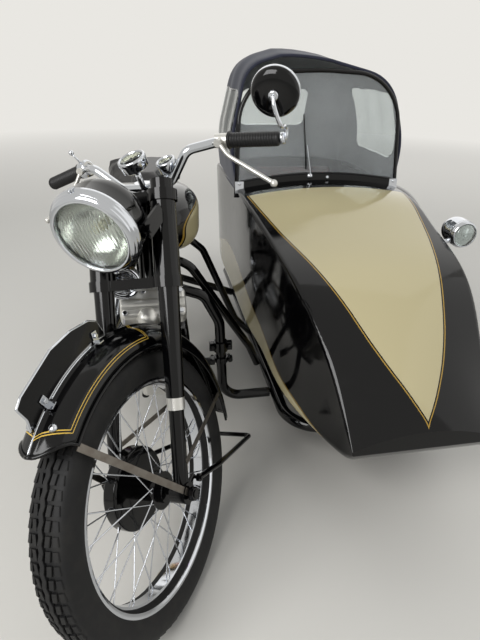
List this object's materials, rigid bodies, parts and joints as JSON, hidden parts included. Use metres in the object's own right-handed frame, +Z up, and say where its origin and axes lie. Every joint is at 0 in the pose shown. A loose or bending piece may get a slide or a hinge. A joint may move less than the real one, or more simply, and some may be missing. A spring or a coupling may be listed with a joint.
{
  "type": "sidecar motorcycle",
  "caption": "Big single motorcycle with a hooded single-seat sidecar: steering fork, turning wheels, stands, opening boot lid and a hollow cabin.",
  "frame": {"origin": "centre of the bounding box at ground level", "axes": "+X across to the sidecar (the rider's left), +Y rearwards, +Z up; the front faces -Y"},
  "size_m": [1.429, 2.2056, 1.2206],
  "materials": {
    "black_enamel": "gloss black stoved enamel",
    "body_enamel": "gloss black coach enamel with a cream deck panel and gold lining",
    "tank_enamel": "gloss black enamel with cream side panels",
    "tyre_black": "ribbed road tyre",
    "wheel_chrome": "plated rim and spokes",
    "bright_chrome": "bright plating",
    "cast_alloy": "cast and polished alloy",
    "grey_iron": "sooty cast iron",
    "dull_steel": "dull bare steel",
    "black_rubber": "moulded rubber",
    "black_leather": "black leathercloth",
    "seat_leather": "dark leathercloth",
    "hood_fabric": "navy-black hood cloth",
    "clear_screen": "clear sheet",
    "lamp_glass": "fluted lamp glass"
  },
  "bodies": {
    "root": {"crankcase": "cast_alloy", "cylinder_barrel": "grey_iron", "rocker_box": "cast_alloy", "cylinder_head": "grey_iron", "exhaust": "bright_chrome", "timing_cover": "cast_alloy", "primary_chaincase": "black_enamel", "gearbox": "cast_alloy", "magdyno": "dull_steel", "carburettor": "cast_alloy", "fuel_tank": "tank_enamel", "filler_cap": "bright_chrome", "saddle": "black_leather", "saddle_springs": "dull_steel", "rear_mudguard": "black_enamel", "tail_lamp": "black_enamel", "toolbox": "black_enamel", "horn": "bright_chrome", "footrests": "black_rubber", "rear_chain": "dull_steel", "frame": "black_enamel", "sidecar_chassis": "black_enamel", "sidecar_mudguard": "black_enamel", "sidecar_arms": "black_enamel", "sidecar_body": "body_enamel", "sidecar_seat": "seat_leather", "windscreen_frame": "black_enamel", "windscreen_pane": "clear_screen", "hood": "hood_fabric", "hood_windows": "clear_screen", "side_lamp": "bright_chrome"},
    "steering": {"fork_yokes": "black_enamel", "fork_shrouds": "black_enamel", "fork_sliders": "black_enamel", "fork_collars": "cast_alloy", "front_mudguard": "black_enamel", "front_stays": "dull_steel", "front_number_plate": "black_enamel", "handlebar": "bright_chrome", "hand_grips": "black_rubber", "control_levers": "cast_alloy", "headlamp_shell": "black_enamel", "headlamp_rim": "bright_chrome", "headlamp_lens": "lamp_glass", "instruments": "bright_chrome", "mirror": "bright_chrome"},
    "front_wheel": {"front_tyre": "tyre_black", "front_rim": "wheel_chrome", "front_hub": "black_enamel"},
    "rear_wheel": {"rear_tyre": "tyre_black", "rear_rim": "wheel_chrome", "rear_hub": "black_enamel"},
    "sidecar_wheel": {"sidecar_tyre": "tyre_black", "sidecar_rim": "wheel_chrome", "sidecar_hub": "black_enamel"},
    "front_stand": {"front_stand": "black_enamel"},
    "centre_stand": {"centre_stand": "black_enamel"},
    "boot_lid": {"boot_lid": "body_enamel"}
  },
  "joints": [
    {"name": "steering", "type": "hinge", "parent": "root", "child": "steering", "pos_m": [-0.4455, -0.76161, 0.29048], "axis": [0, 0.454, 0.891], "range_deg": [-5.2, 70.8]},
    {"name": "front_wheel_spin", "type": "hinge", "parent": "steering", "child": "front_wheel", "pos_m": [-0.48234, -0.81254, 0.31643], "axis": [0.8406, -0.4827, 0.2459], "continuous": true},
    {"name": "rear_wheel_spin", "type": "hinge", "parent": "root", "child": "rear_wheel", "pos_m": [-0.4455, 0.5778, 0.32505], "axis": [1, 0, 0], "continuous": true},
    {"name": "sidecar_wheel_spin", "type": "hinge", "parent": "root", "child": "sidecar_wheel", "pos_m": [0.6425, 0.4278, 0.32505], "axis": [1, 0, 0], "continuous": true},
    {"name": "front_stand", "type": "hinge", "parent": "steering", "child": "front_stand", "pos_m": [-0.46031, -0.77232, 0.32008], "axis": [0.8406, -0.4827, 0.2459], "range_deg": [-24, 0]},
    {"name": "centre_stand", "type": "hinge", "parent": "root", "child": "centre_stand", "pos_m": [-0.4455, 0.0778, 0.17205], "axis": [1, 0, 0], "range_deg": [-53, 0]},
    {"name": "boot_lid", "type": "hinge", "parent": "root", "child": "boot_lid", "pos_m": [0.2205, 0.8608, 0.74804], "axis": [1, 0, 0], "range_deg": [0, 70]}
  ]
}
